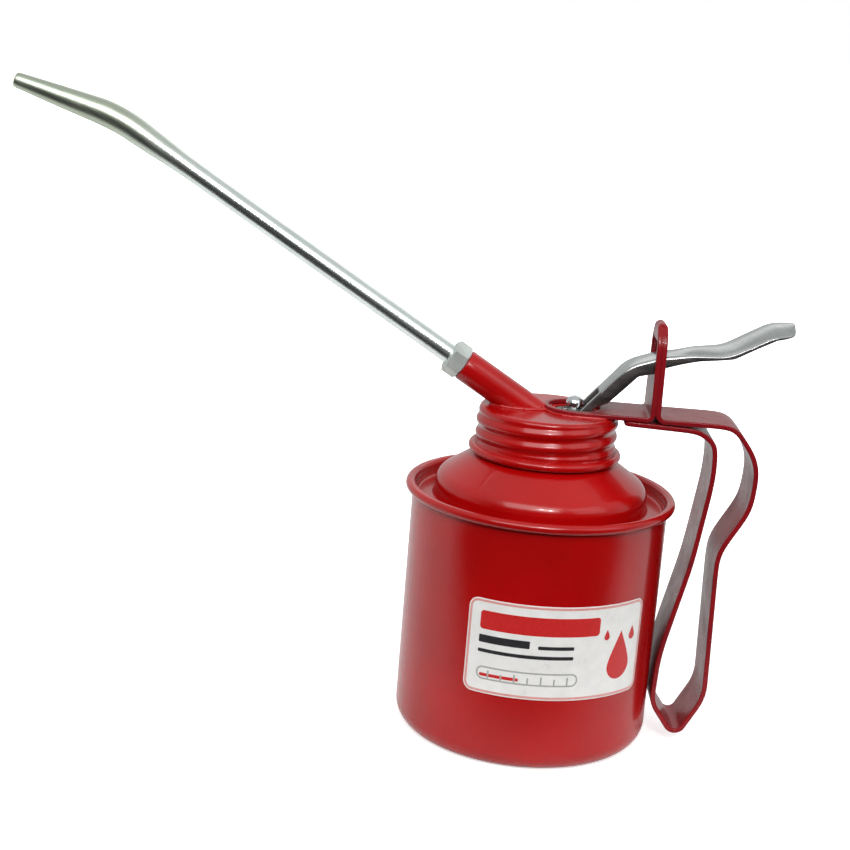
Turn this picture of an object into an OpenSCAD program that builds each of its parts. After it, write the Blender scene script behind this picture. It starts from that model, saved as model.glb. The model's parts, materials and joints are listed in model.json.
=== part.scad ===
// Workshop oil can with a thumb lever, a lift pump in the screw cap, a long bent spout
// and a folded strip handle.
// Millimetres. The origin is the centre of the base, +Z is up, the handle is on +X
// and the spout points along -X.

/* [Can] */
// Outside radius of the oil can's drawn body
can_r = 40; // [39.5:0.1:40]
// Height of the rolled rim's centre above the base
rim_z = 77.8; // [77:0.1:78.5]
// Thickness of the body sheet
can_t = 0.6; // [0.5:0.1:0.8]
// Radius of the corner between base and wall
base_corner = 6.5; // [5:0.5:8]
// Radius of the rolled rim's roll
rim_roll = 1.5; // [1.4:0.1:1.5]
// Radius of the raised shoulder, measured to its sheet's middle
shoulder_r = 32.9; // [32:0.1:33.5]
// Slope of the shoulder's cone in degrees
shoulder_slope = 35; // [34:0.5:36]

/* [Cap] */
// Height of the screw cap's flat top
cap_top = 104.6; // [104.4:0.1:104.8]
// Radius of the filler neck's bore
neck_bore = 19.3; // [19.2:0.1:19.4]
// Radius of the cap's wall in its grooves
cap_groove_r = 21.1; // [21:0.1:21.3]
// How far the cap's thread ridges stand out of its grooves
ridge_h = 0.8; // [0.5:0.1:1]
// Pitch of the cap's rolled thread
pitch = 4.2; // [4:0.1:4.4]

/* [Handle] */
// Width of the handle strip
strip_w = 19.5; // [18:0.5:20]
// Thickness of the handle strip
strip_t = 1.6; // [1.5:0.1:1.7]
// Distance of the fulcrum post from the can's axis
post_x = 32.1; // [31.8:0.1:32.4]
// Height of the fulcrum post's top
post_top = 134.6; // [133.5:0.1:136]
// Radius of the oval eye that the lever dips into
eye_r = 8; // [8:0.1:8.1]

/* [Spout] */
// Rise of the straight spout in degrees
spout_rise = 31.3; // [31:0.1:31.6]
// Rise of the spout's bent end in degrees
tip_rise = 15.9; // [14:0.1:20]
// Outside radius of the spout tube
tube_r = 3.1; // [3:0.05:3.1]
// Outside radius of the spout where it is swollen at the bend
bulge_r = 4; // [3.6:0.1:4.1]
// Outside radius of the spout's open tip
tip_r = 2.2; // [2:0.1:2.4]
// Distance along the spout's axis from the cap to the bend
bend_at = 144; // [140:1:150]
// Length of the tapered end
tip_len = 25.5; // [24:0.5:30]

/* [Pump] */
// Distance of the pump's axis from the can's axis
pump_x = 8; // [8:0.1:8.1]
// Bore radius of the pump barrel
barrel_bore = 7; // [7:0.1:7.1]
// Height of the barrel's lower end
barrel_foot = 22; // [20:0.5:24]
// Radius of the plunger rod
rod_r = 1.6; // [1.5:0.05:1.65]
// Radius of the ball knob on the plunger rod
knob_r = 2.8; // [2.7:0.1:2.8]
// Number of turns of the return spring
spring_turns = 9; // [7:1:11]

/* [Label] */
// Width of the label along the can's wall, in degrees
label_span = 84.5; // [70:0.5:90]
// Height of the label
label_h = 29.6; // [26:0.1:32]

/* [Hidden] */
$fn = 96;

red = [0.72, 0.05, 0.06];
zinc = [0.78, 0.80, 0.78];
brass = [0.72, 0.58, 0.30];
steel = [0.62, 0.63, 0.65];
fit_gap = 0.05;
far = 400;

// Heights of the can's upper parts
gully_z = 74.5;
cone_foot_z = rim_z + 3.7;
cone_top_z = cone_foot_z + (shoulder_r - neck_bore - can_t / 2) * tan(shoulder_slope);
neck_top = cap_top - 2;
cap_t = 0.7;
cap_under = cap_top - cap_t;
cap_bead_z = cap_top - 13.2;
cap_bead_r = 1.3;
cap_bore = neck_bore + can_t + 0.55;

// Fulcrum nose and lever
fulcrum_z = 119;
nose_r = strip_t;
slot_w = 12.8;
slot_top = 129.2;
knob_z = 106.6;
lip_top = 104.34;
lip_t = 1.4;
lever_t = 1.3;
fork_w = 9.8;

// Pump heights
well_r = 7.4;
well_z = cap_top - 4.4;
packing_z = well_z - 2.8;
head_r = 10.5;
head_z = 95;
spigot_z = 91;
piston_z = 33.2;
piston_top = 39;

// ---------- helper functions ----------
function unit(v) = v / norm(v);
function turned(v, a) = [v.x * cos(a) - v.y * sin(a), v.x * sin(a) + v.y * cos(a)];
function turn(a, b) = atan2(a.x * b.y - a.y * b.x, a.x * b.x + a.y * b.y);

// The arc that rounds corner p, between directions a and b, to radius r
function corner(p, a, b, r) =
    let (w = turn(a, b), s = sign(w), start = p - a * r * tan(abs(w) / 2),
         out = s * r * [a.y, -a.x], n = max(2, ceil(abs(w) / 9)))
    [for (i = [0:n]) start - out + turned(out, w * i / n)];

// A path through [x, z, corner radius] points with its corners rounded
function rounded(v) =
    [for (i = [0:len(v) - 1])
        each (i == 0 || i == len(v) - 1) ? [[v[i].x, v[i].y]] :
            let (p = [v[i].x, v[i].y], q = [v[i - 1].x, v[i - 1].y], n = [v[i + 1].x, v[i + 1].y])
            corner(p, unit(p - q), unit(n - p), v[i].z)];

// A path shifted sideways by d
function shifted(p, d) =
    [for (i = [0:len(p) - 1])
        let (a = i == 0 ? unit(p[1] - p[0]) : unit(p[i] - p[i - 1]),
             b = i == len(p) - 1 ? a : unit(p[i + 1] - p[i]), m = unit(a + b))
        p[i] + [-m.y, m.x] * d / (m * b)];

function reversed(p) = [for (i = [len(p) - 1:-1:0]) p[i]];

// The outline of a strip of thickness t whose middle follows the path
module strip(path, t) {
    polygon(concat(shifted(path, t / 2), reversed(shifted(path, -t / 2))));
}

// A side outline in X and Z, given a width along Y
module across(width) {
    rotate([90, 0, 0]) linear_extrude(width, center = true) children();
}

module ring(outer, inner, z0, z1) {
    translate([0, 0, z0]) difference() {
        cylinder(r = outer, h = z1 - z0);
        translate([0, 0, -1]) cylinder(r = inner, h = z1 - z0 + 2);
    }
}

module at_pump() {
    translate([pump_x, 0, 0]) children();
}

// Local Z along the spout, starting where the socket's axis meets the cap's top
module along_spout(s = 0) {
    translate([-8, 0, cap_top]) rotate([0, spout_rise - 90, 0]) translate([0, 0, s]) children();
}

// ---------- can ----------
module reservoir() {
    wall = rounded([[0, can_t / 2, 0], [can_r - can_t / 2, can_t / 2, base_corner],
                    [can_r - can_t / 2, rim_z - 0.2, 0]]);
    color(red) {
        rotate_extrude() strip(wall, can_t);
        rotate_extrude() translate([can_r + 0.75, rim_z]) circle(r = rim_roll, $fn = 48);
    }
}

// Pressed shoulder: upstand inside the rim, gully, cone and filler neck
module shoulder() {
    press = rounded([[can_r - can_t - 0.4, rim_z - 1.9, 0],
                     [can_r - can_t - 0.4, gully_z, 1.2],
                     [shoulder_r, gully_z, 1.2],
                     [shoulder_r, cone_foot_z, 5.2],
                     [neck_bore + can_t / 2, cone_top_z, 1.2],
                     [neck_bore + can_t / 2, neck_top, 0]]);
    color(red) rotate_extrude() strip(press, can_t);
}

module label() {
    color("white") rotate([0, 0, -77.7 - label_span / 2])
        rotate_extrude(angle = label_span)
            translate([can_r + 0.02, 39 - label_h / 2]) square([0.18, label_h]);
}

// ---------- cap and handle ----------
module cap_gasket() {
    color("dimgray") ring(neck_bore + can_t + 0.5, neck_bore - 0.3, neck_top + 0.03, cap_under - 0.02);
}

module screw_cap() {
    color(red) difference() {
        rotate_extrude() {
            difference() {
                union() {
                    translate([0, cap_bead_z - 0.4]) square([cap_groove_r, cap_top - cap_bead_z - 0.9]);
                    translate([0, cap_top - 3]) square([cap_groove_r - 1.3, 3]);
                    translate([cap_groove_r - 1.3, cap_top - 1.3]) circle(r = 1.3, $fn = 48);
                    translate([0, cap_bead_z - 0.4]) square([cap_groove_r + 1.3, 0.9]);
                    translate([cap_groove_r + 1.4, cap_bead_z]) circle(r = cap_bead_r, $fn = 48);
                    for (k = [0:2])
                        translate([cap_groove_r - 0.4, cap_top - 2.8 - k * pitch])
                            circle(r = ridge_h + 0.4, $fn = 48);
                }
                translate([-1, cap_bead_z - 3]) square([cap_bore + 1, cap_under - cap_bead_z + 3]);
            }
        }
        at_pump() translate([0, 0, cap_under - 1]) cylinder(r = well_r, h = 3);
        along_spout(-20) cylinder(r = 2.6, h = 40);
    }
}

// The tongue with its eye, the folded post with its slot, the grip and the inner strip
module handle_strip() {
    run_z = cap_top + strip_t / 2;
    leg_in = rounded([[post_x - 6, run_z, 0], [post_x - strip_t / 2, run_z, 1.6],
                      [post_x - strip_t / 2, post_top - strip_t, 0]]);
    grip = rounded([[post_x + strip_t / 2, post_top - strip_t, 0],
                    [post_x + strip_t / 2, run_z - 0.2, 2.4],
                    [57, run_z - 0.2, 6],
                    [65.3, 94, 14],
                    [64.4, 79.5, 12],
                    [56, 64.5, 14],
                    [57.3, 17, 16],
                    [49.4, 2.4, 3],
                    [41, 14, 9],
                    [41.6, 30, 50],
                    [48.3, 60.5, 80],
                    [51.9, 88, 50],
                    [51.6, 100, 5],
                    [46, 103, 6],
                    [post_x - 9, cap_top - strip_t / 2 - 0.02, 0]]);
    color(red) difference() {
        union() {
            translate([0, 0, cap_top]) linear_extrude(strip_t) {
                translate([pump_x, 0]) circle(r = strip_w / 2 - 0.2);
                translate([pump_x, -strip_w / 2]) square([post_x - 6 - pump_x, strip_w]);
            }
            intersection() {
                union() {
                    across(strip_w) strip(leg_in, strip_t);
                    across(strip_w) strip(grip, strip_t);
                    translate([post_x, 0, post_top - strip_t]) rotate([90, 0, 0])
                        cylinder(r = strip_t, h = strip_w, center = true);
                }
                rotate([90, 0, 90]) linear_extrude(far, center = true) post_front();
            }
        }
        translate([pump_x, 0, cap_top - 1]) cylinder(r = eye_r, h = 4);
        along_spout(-20) cylinder(r = 5.05, h = 40);
        difference() {
            translate([post_x - 4, -slot_w / 2, fulcrum_z]) cube([8, slot_w, slot_top - fulcrum_z]);
            translate([post_x, 0, fulcrum_z]) rotate([90, 0, 0])
                cylinder(r = nose_r, h = slot_w + 2, center = true);
        }
    }
}

// The post seen along X: full width at the foot, tapering to a round top
module post_front() {
    top_r = 7.4;
    polygon([[-far, -1], [far, -1], [far, cap_top + 5], [strip_w / 2, cap_top + 5],
             [8.9, fulcrum_z], [top_r + 0.6, post_top - top_r], [top_r, post_top - top_r],
             [-top_r, post_top - top_r], [-top_r - 0.6, post_top - top_r], [-8.9, fulcrum_z],
             [-strip_w / 2, cap_top + 5], [-far, cap_top + 5]]);
    intersection() {
        translate([0, post_top - top_r - 0.6]) circle(r = top_r + 0.6);
        translate([-10, post_top - top_r - 1]) square([20, 12]);
    }
}

// ---------- spout ----------
module spout_socket() {
    color(red) difference() {
        along_spout(-12) cylinder(r = 5, h = 34.4);
        along_spout(-20) cylinder(r = 2.56, h = 60);
        along_spout(12) cylinder(r = 3.3, h = 20);
        along_spout(19) cylinder(r = 4.3, h = 20);
        translate([-far / 2, -far / 2, cap_top - far]) cube(far);
    }
}

module spout_nut() {
    color(zinc) difference() {
        along_spout(22.45) cylinder(r = 5.6, h = 5.4, $fn = 6);
        along_spout(20) cylinder(r = tube_r + 0.08, h = 12);
    }
}

module spout_ferrule() {
    color(brass) along_spout(19.4) difference() {
        cylinder(r1 = 3.6, r2 = 4.2, h = 2.8);
        translate([0, 0, -1]) cylinder(r = tube_r + 0.01, h = 6);
    }
}

// Straight run that swells into the bend, then the tapered end, with every radius less the skin.
// The straight pieces lap a little way into the bend, a hair thinner than it.
module spout_run(skin, over) {
    bend_r = 50;
    bend = spout_rise - tip_rise;
    swell_at = bend_at - 20;
    lap = 0.5;
    lap_r = bulge_r - skin - 0.05;
    along_spout() rotate_extrude()
        polygon([[0, 12.5 - over], [tube_r - skin, 12.5 - over], [tube_r - skin, swell_at],
                 [lap_r, bend_at], [lap_r, bend_at + lap], [0, bend_at + lap]]);
    along_spout(bend_at) translate([-bend_r, 0, 0]) rotate([90, 0, 0])
        rotate_extrude(angle = bend) translate([bend_r, 0]) circle(r = bulge_r - skin, $fn = 48);
    along_spout(bend_at) translate([-bend_r * (1 - cos(bend)), 0, bend_r * sin(bend)])
        rotate([0, -bend, 0]) rotate_extrude()
            polygon([[0, -lap], [lap_r, -lap], [lap_r, 0], [tip_r - skin, tip_len],
                     [tip_r - skin, tip_len + over], [0, tip_len + over]]);
}

module spout_tube() {
    color(zinc) difference() {
        spout_run(0, 0.01);
        spout_run(0.7, 1);
    }
}

// ---------- pump ----------
module pump_head() {
    color(zinc) difference() {
        at_pump() union() {
            translate([0, 0, head_z]) cylinder(r = head_r, h = cap_under - head_z);
            translate([0, 0, spigot_z]) cylinder(r = barrel_bore - fit_gap, h = 5);
        }
        at_pump() {
            translate([0, 0, well_z]) cylinder(r = well_r, h = 20);
            translate([0, 0, packing_z]) cylinder(r = 4, h = 20);
            translate([0, 0, spigot_z - 1]) cylinder(r = rod_r + fit_gap, h = 20);
        }
        along_spout(-12.2) cylinder(r = 1.3, h = 20);
        along_spout(-9.6) cylinder(r = 2.55, h = 20);
        translate([2.4, 0, spigot_z - 1]) cylinder(r = 1.1, h = cap_top - 5.6 - spigot_z);
    }
}

module gland_packing() {
    color("ivory") at_pump() ring(3.95, rod_r + fit_gap, packing_z + 0.02, packing_z + 2.2);
}

module gland_nut() {
    color(zinc) at_pump() difference() {
        union() {
            translate([0, 0, packing_z + 2.25]) cylinder(r = 3.95, h = 1);
            translate([0, 0, well_z + 0.02]) cylinder(r = 5.8, h = 2, $fn = 6);
        }
        translate([0, 0, packing_z]) cylinder(r = rod_r + fit_gap, h = 10);
    }
}

module delivery_pipe() {
    color(zinc) along_spout(-9.55) difference() {
        cylinder(r = 2.5, h = 18);
        translate([0, 0, -1]) cylinder(r = 1.4, h = 20);
    }
}

module pump_barrel() {
    color(zinc) at_pump() ring(barrel_bore + 1, barrel_bore, barrel_foot, head_z - 0.02);
}

// Spigoted valve body with a seat for the inlet ball
module foot_valve() {
    color(zinc) at_pump() difference() {
        union() {
            translate([0, 0, 13.5]) cylinder(r = barrel_bore + 1, h = barrel_foot - 13.52);
            translate([0, 0, 13.5]) cylinder(r = barrel_bore - fit_gap, h = 9.5);
        }
        translate([0, 0, 10]) cylinder(r = 2.2, h = 20);
        translate([0, 0, 16]) cylinder(r = 3.6, h = 20);
    }
}

module ball_retainer() {
    color(zinc) at_pump() ring(barrel_bore - fit_gap, 2, 23.02, 23.8);
}

module inlet_ball() {
    color(steel) translate([pump_x, 0, 17.95]) sphere(r = 2.9);
}

// Cup with a ring of slots and a flat floor
module strainer() {
    color(brass) at_pump() difference() {
        translate([0, 0, 6.5]) cylinder(r = barrel_bore, h = 6.98);
        translate([0, 0, 7.1]) cylinder(r = barrel_bore - 0.6, h = 10);
        for (a = [0:30:150])
            rotate([0, 0, a]) translate([-10, -0.6, 8]) cube([20, 1.2, 4]);
    }
}

module plunger_rod() {
    color(steel) at_pump() {
        translate([0, 0, 39.6]) cylinder(r = rod_r, h = knob_z - 39.6);
        translate([0, 0, knob_z]) sphere(r = knob_r);
    }
}

// Piston with the transfer valve's chamber and outlets
module piston() {
    color(brass) at_pump() difference() {
        union() {
            translate([0, 0, piston_z]) cylinder(r = 6, h = piston_top - piston_z);
            translate([0, 0, piston_top - 0.5]) cylinder(r = 3.2, h = 3.5);
            translate([0, 0, 29.6]) cylinder(r = 2.5, h = 4);
        }
        translate([0, 0, 29]) cylinder(r = 1.3, h = 8);
        translate([0, 0, 34]) cylinder(r = 2.3, h = 4.6);
        translate([0, 0, 39.58]) cylinder(r = rod_r + 0.01, h = 4);
        for (a = [0, 90])
            rotate([0, 90, a]) translate([-37.9, 0, -10]) cylinder(r = 0.65, h = 20);
    }
}

module piston_cup() {
    color("saddlebrown") at_pump() {
        ring(barrel_bore - 0.1, 2.52, 32.02, piston_z - 0.01);
        ring(barrel_bore - 0.1, 6.05, 32.5, 37);
    }
}

module piston_nut() {
    color(brass) at_pump() difference() {
        translate([0, 0, 29.6]) cylinder(r = 5, h = 2.4, $fn = 6);
        translate([0, 0, 29]) cylinder(r = 2.52, h = 4);
    }
}

module transfer_ball() {
    color(steel) translate([pump_x, 0, 35.42]) sphere(r = 1.9);
}

// Helix with six-sided wire, swept along its own rule
module return_spring() {
    wire = 0.55;
    coil_r = 4.7;
    z0 = piston_top + wire + 0.05;
    z1 = spigot_z - wire - 0.05;
    per_turn = 14;
    rings = spring_turns * per_turn;
    sides = 6;
    pts = [for (i = [0:rings], j = [0:sides - 1])
        let (a = 360 * i / per_turn, b = 360 * j / sides, r = coil_r + wire * cos(b))
        [r * cos(a), r * sin(a), z0 + (z1 - z0) * i / rings + wire * sin(b)]];
    walls = [for (i = [0:rings - 1], j = [0:sides - 1])
        let (k = (j + 1) % sides)
        [i * sides + j, (i + 1) * sides + j, (i + 1) * sides + k, i * sides + k]];
    ends = [[for (j = [0:sides - 1]) j], [for (j = [sides - 1:-1:0]) rings * sides + j]];
    color(steel) at_pump() polyhedron(pts, concat(walls, ends));
}

// ---------- lever ----------
// Pressed channel with a forked inner end that lifts the knob
module thumb_lever() {
    top = rounded([[7.6, 103.4, 0], [23.2, 121.7, 14], [33, 125.2, 20], [51.8, 127.4, 14],
                   [65.4, 135.2, 12], [72, 135.8, 0]]);
    skirt = concat(top, [[72, 134.2], [66, 132.9], [60.4, 129.9], [54, 126.2], [43.7, 124.2],
                         [38.5, 122.6], [33.9, 121.1], [post_x + 1.72, fulcrum_z], [post_x - 1.72, fulcrum_z],
                         [29.4, 118.8], [25.9, 117.8], [17.7, 108.6], [13.2, 106.4],
                         [12.8, lip_top - lip_t], [4.6, lip_top - lip_t], [4.6, lip_top]]);
    color(steel) difference() {
        intersection() {
            union() {
                across(30) difference() {
                    intersection() {
                        strip(top, 2 * lever_t);
                        polygon(skirt);
                    }
                    translate([0, 100]) square([9.5, 4.4]);
                }
                lever_skirts() polygon(skirt);
                for (side = [-1, 1])
                    translate([4.6, side > 0 ? 1.8 : -4.5, lip_top - lip_t]) cube([8.2, 2.7, lip_t]);
            }
            linear_extrude(far, center = true) lever_plan();
        }
        translate([0, -3.2, 100]) cube([14.9, 6.4, 20]);
        translate([post_x, 0, fulcrum_z]) rotate([90, 0, 0])
            cylinder(r = nose_r + 0.1, h = 40, center = true);
    }
}

// Plan outline of the lever, shrunk by inset: fork, neck through the slot and broad thumb end
module lever_plan(inset = 0) {
    neck = slot_w / 2 - 0.4;
    half = [[0, fork_w / 2], [16, fork_w / 2], [24, neck], [40, neck], [52, 9.3], [66, 9.3],
            [70, 8.2], [72.5, 5]];
    edge = [for (p = half) [p.x, p.y - inset]];
    polygon(concat(edge, [for (p = reversed(edge)) [p.x, -p.y]]));
}

// Both side walls of the channel, following the plan's edge
module lever_skirts() {
    intersection() {
        across(40) children();
        linear_extrude(far, center = true) difference() {
            lever_plan();
            lever_plan(lever_t);
        }
    }
}

reservoir();
shoulder();
label();
cap_gasket();
screw_cap();
handle_strip();
spout_socket();
spout_nut();
pump_head();
gland_packing();
gland_nut();
delivery_pipe();
pump_barrel();
foot_valve();
ball_retainer();
strainer();
inlet_ball();
plunger_rod();
piston();
piston_cup();
piston_nut();
transfer_ball();
return_spring();
thumb_lever();
spout_tube();
spout_ferrule();
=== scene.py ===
"""A red pump oil can with a thumb lever, a long bent spout and a folded strip handle.

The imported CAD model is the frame. Lengths in this file are millimetres in its axes: the
origin is the centre of the base, +Z is up, the handle is on +X and the spout runs along -X.
"""
import json
from math import atan2, ceil, cos, hypot, pi, radians, sin, sqrt, tan

import bmesh
import bpy
import numpy as np
from mathutils import Matrix, Vector


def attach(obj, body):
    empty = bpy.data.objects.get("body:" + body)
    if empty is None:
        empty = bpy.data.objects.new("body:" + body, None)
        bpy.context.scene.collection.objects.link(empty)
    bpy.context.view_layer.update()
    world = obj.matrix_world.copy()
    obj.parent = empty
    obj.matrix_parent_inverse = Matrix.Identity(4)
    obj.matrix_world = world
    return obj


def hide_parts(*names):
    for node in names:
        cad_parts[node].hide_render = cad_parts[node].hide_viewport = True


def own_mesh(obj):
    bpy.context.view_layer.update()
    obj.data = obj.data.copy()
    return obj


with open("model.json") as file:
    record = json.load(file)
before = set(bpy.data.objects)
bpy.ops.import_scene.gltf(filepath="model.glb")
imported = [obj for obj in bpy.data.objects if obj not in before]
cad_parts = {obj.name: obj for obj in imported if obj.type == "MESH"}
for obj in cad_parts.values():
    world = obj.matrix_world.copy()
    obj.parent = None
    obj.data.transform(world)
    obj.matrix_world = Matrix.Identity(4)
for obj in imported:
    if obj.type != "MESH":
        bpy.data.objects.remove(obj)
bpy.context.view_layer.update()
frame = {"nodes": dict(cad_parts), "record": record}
MM = 0.001
SCENE = bpy.context.scene
WHITE = (1, 1, 1)

# ---------- lengths shared with the CAD model ----------
CAN_R = 40.0
RIM_R, RIM_Z, RIM_ROLL = 40.75, 77.8, 1.5
SHEET = 0.6
SHOULDER_R, GULLY_Z, CONE_FOOT_Z, CONE_TOP_Z = 32.9, 74.5, 81.5, 90.7
NECK_R, NECK_TOP = 19.6, 102.6
CAP_TOP, CAP_SHEET, CAP_GROOVE_R, CAP_BEAD_Z, CAP_BEAD_R = 104.6, 0.7, 21.1, 91.4, 1.3
PITCH, RIDGE = 4.2, 0.8
STRIP_T, STRIP_HALF, POST_X, POST_TOP = 1.6, 9.75, 32.1, 134.6
EYE_R, EYE_OUTER = 8.0, 9.55
FULCRUM_Z, SLOT_HALF, SLOT_TOP = 119.0, 6.4, 129.2
PUMP_X, WELL_R, WELL_Z = 8.0, 7.4, 100.2
SPOUT_X, SPOUT_RISE, TIP_RISE = -8.0, 31.3, 15.9
SOCKET_R, SOCKET_END = 5.0, 22.4
TUBE_R, BULGE_R, TIP_R, TUBE_WALL = 3.1, 4.0, 2.2, 0.7
BEND_AT, BEND_R, TIP_LEN = 144.0, 50.0, 25.5
BEND_TURN = radians(SPOUT_RISE - TIP_RISE)
BEND_LEN = BEND_R * BEND_TURN
SPOUT_END = BEND_AT + BEND_LEN + TIP_LEN
ROD_R, KNOB_R, KNOB_Z, ROD_FOOT = 1.6, 2.8, 106.6, 39.6
SPRING_R, SPRING_WIRE, SPRING_TURNS, SPRING_FOOT, SPRING_TOP = 4.7, 0.55, 9, 39.0, 91.0
LEVER_T, LEVER_TIP = 1.3, 72.62
LABEL_AT, LABEL_SPAN, LABEL_H, LABEL_Z = -77.7, 84.5, 29.6, 39.0


# ---------- shape helpers ----------
def smooth(t):
    """0 to 1 with level ends, as t goes from 0 to 1."""
    t = min(max(t, 0.0), 1.0)
    return t * t * (3 - 2 * t)


def rounded(points, step=6.0):
    """The polyline through (x, z, corner radius) points, with an arc at each inner corner."""
    pts = [np.array(p[:2], float) for p in points]
    out = [pts[0]]
    for before, p, after, (_, _, r) in zip(pts, pts[1:], pts[2:], points[1:-1]):
        a = (p - before) / np.linalg.norm(p - before)
        b = (after - p) / np.linalg.norm(after - p)
        turn = atan2(a[0] * b[1] - a[1] * b[0], a @ b)
        arm = np.copysign(r, turn) * np.array([a[1], -a[0]])
        centre = p - a * r * tan(abs(turn) / 2) - arm
        count = max(2, ceil(abs(turn) / radians(step)))
        for k in range(count + 1):
            c, s = cos(turn * k / count), sin(turn * k / count)
            out.append(centre + np.array([arm[0] * c - arm[1] * s, arm[0] * s + arm[1] * c]))
    out.append(pts[-1])
    return np.array([p for i, p in enumerate(out) if i == 0 or np.linalg.norm(p - out[i - 1]) > 1e-6])


def arc(cx, cz, r, start, end, count=12):
    """Points of an arc, with its angles in degrees."""
    return [(cx + r * cos(radians(a)), cz + r * sin(radians(a))) for a in np.linspace(start, end, count)]


def side_normals(path):
    """The leftward normal at each point of a path, lengthened at corners to keep an offset even."""
    step = np.diff(path, axis=0)
    step /= np.linalg.norm(step, axis=1)[:, None]
    before, after = np.vstack([step[:1], step]), np.vstack([step, step[-1:]])
    mid = before + after
    mid /= np.linalg.norm(mid, axis=1)[:, None]
    return np.stack([-mid[:, 1], mid[:, 0]], 1) / (mid * after).sum(1)[:, None]


def ribbon(path, thickness):
    """The closed outline of a sheet whose middle follows the path."""
    away = side_normals(path) * thickness / 2
    return np.vstack([path + away, (path - away)[::-1]])


def lengths(path):
    """Distance along a path at each of its points."""
    return np.concatenate([[0.0], np.cumsum(np.linalg.norm(np.diff(path, axis=0), axis=1))])


def densified(path, gap):
    """A path with points added so that none are further apart than gap."""
    out = [path[0]]
    for a, b in zip(path, path[1:]):
        count = max(1, ceil(hypot(*(np.array(b) - a)) / gap))
        out += [np.array(a) + (np.array(b) - a) * k / count for k in range(1, count + 1)]
    return np.array(out)


def piece(name, verts, faces, slot, body, materials, sharp=38):
    """A cleaned mesh piece that rides on a body, shaded smooth below the sharp angle in degrees."""
    mesh = bpy.data.meshes.new(name)
    mesh.from_pydata((np.asarray(verts, float) * MM).tolist(), [], faces)
    obj = bpy.data.objects.new(name, mesh)
    SCENE.collection.objects.link(obj)
    bm = bmesh.new()
    bm.from_mesh(mesh)
    bmesh.ops.remove_doubles(bm, verts=bm.verts, dist=1e-6)
    bmesh.ops.dissolve_degenerate(bm, edges=bm.edges, dist=1e-7)
    bmesh.ops.recalc_face_normals(bm, faces=bm.faces)
    bm.to_mesh(mesh)
    bm.free()
    for material in materials if isinstance(materials, list) else [materials]:
        mesh.materials.append(material)
    mesh.shade_smooth()
    mesh.set_sharp_from_angle(angle=radians(sharp))
    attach(obj, body)
    return obj


def grid_faces(rows, columns, wrap_rows=False, wrap_columns=True):
    """Quads over vertices laid out row by row."""
    r = np.arange(rows if wrap_rows else rows - 1)
    c = np.arange(columns if wrap_columns else columns - 1)
    r0, c0 = (m.ravel() for m in np.meshgrid(r, c, indexing="ij"))
    r1, c1 = (r0 + 1) % rows, (c0 + 1) % columns
    return np.stack([r0 * columns + c0, r0 * columns + c1, r1 * columns + c1, r1 * columns + c0], 1).tolist()


def lofted(rings):
    """Vertices and faces of a closed solid through rings of equal length, with flat ends."""
    n = len(rings[0])
    last = (len(rings) - 1) * n
    ends = [list(range(n))[::-1], list(range(last, last + n))]
    return np.vstack(rings), grid_faces(len(rings), n) + ends


def turned(loop, count=160, swell=None):
    """Vertices and faces of a closed (r, z) loop turned about Z; swell(angle, r, z) adds to r."""
    loop = np.asarray(loop, float)
    rows = []
    for a in np.arange(count) * 2 * pi / count:
        r = loop[:, 0] + (np.array([swell(a, *p) for p in loop]) if swell else 0)
        rows.append(np.stack([r * cos(a), r * sin(a), loop[:, 1]], 1))
    return np.vstack(rows), grid_faces(count, len(loop), wrap_rows=True)


def placed(verts, matrix):
    """Vertices moved by a 4 x 4 matrix."""
    m = np.array(matrix)
    return np.asarray(verts) @ m[:3, :3].T + m[:3, 3]


def joined(*parts):
    """Several (verts, faces) as one."""
    verts, faces, start = [], [], 0
    for v, f in parts:
        verts.append(np.asarray(v, float))
        faces += [[i + start for i in face] for face in f]
        start += len(v)
    return np.vstack(verts), faces


def swept(centres, radii, sides=16):
    """A round closed tube along 3-D centres."""
    centres = np.asarray(centres, float)
    ahead = np.gradient(centres, axis=0)
    ahead /= np.linalg.norm(ahead, axis=1)[:, None]
    side = np.cross(ahead[0], (0.3, 0.9, 0.1))
    rows = []
    for p, t, r in zip(centres, ahead, np.broadcast_to(radii, len(centres))):
        side = side - t * (side @ t)
        side /= np.linalg.norm(side)
        up = np.cross(t, side)
        rows.append([p + r * (cos(a) * side + sin(a) * up) for a in np.arange(sides) * 2 * pi / sides])
    return lofted(rows)


def plate(outlines, thickness, edge, cuts):
    """A flat plate with rounded edges, cut across X at the given places so that it can bend.
    The first outline is its edge and the others are holes; z runs through its thickness."""
    curve = bpy.data.curves.new("outline", "CURVE")
    curve.dimensions, curve.fill_mode = "2D", "BOTH"
    curve.extrude, curve.bevel_depth = thickness / 2 - edge, edge
    curve.bevel_resolution, curve.offset = 2, -edge
    for outline in outlines:
        spline = curve.splines.new("POLY")
        spline.points.add(len(outline) - 1)
        spline.use_cyclic_u = True
        for point, (x, y) in zip(spline.points, outline):
            point.co = (x, y, 0, 1)
    holder = bpy.data.objects.new("outline", curve)
    SCENE.collection.objects.link(holder)
    bpy.context.view_layer.update()
    mesh = bpy.data.meshes.new_from_object(holder.evaluated_get(bpy.context.evaluated_depsgraph_get()))
    bm = bmesh.new()
    bm.from_mesh(mesh)
    bmesh.ops.remove_doubles(bm, verts=bm.verts, dist=1e-4)
    for x in cuts:
        bmesh.ops.bisect_plane(bm, geom=bm.verts[:] + bm.edges[:] + bm.faces[:], dist=1e-4,
                               plane_co=(x, 0, 0), plane_no=(1, 0, 0))
    verts = np.array([v.co for v in bm.verts])
    bm.verts.index_update()
    faces = [[v.index for v in f.verts] for f in bm.faces]
    bm.free()
    bpy.data.objects.remove(holder)
    bpy.data.curves.remove(curve)
    bpy.data.meshes.remove(mesh)
    return verts, faces


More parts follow.
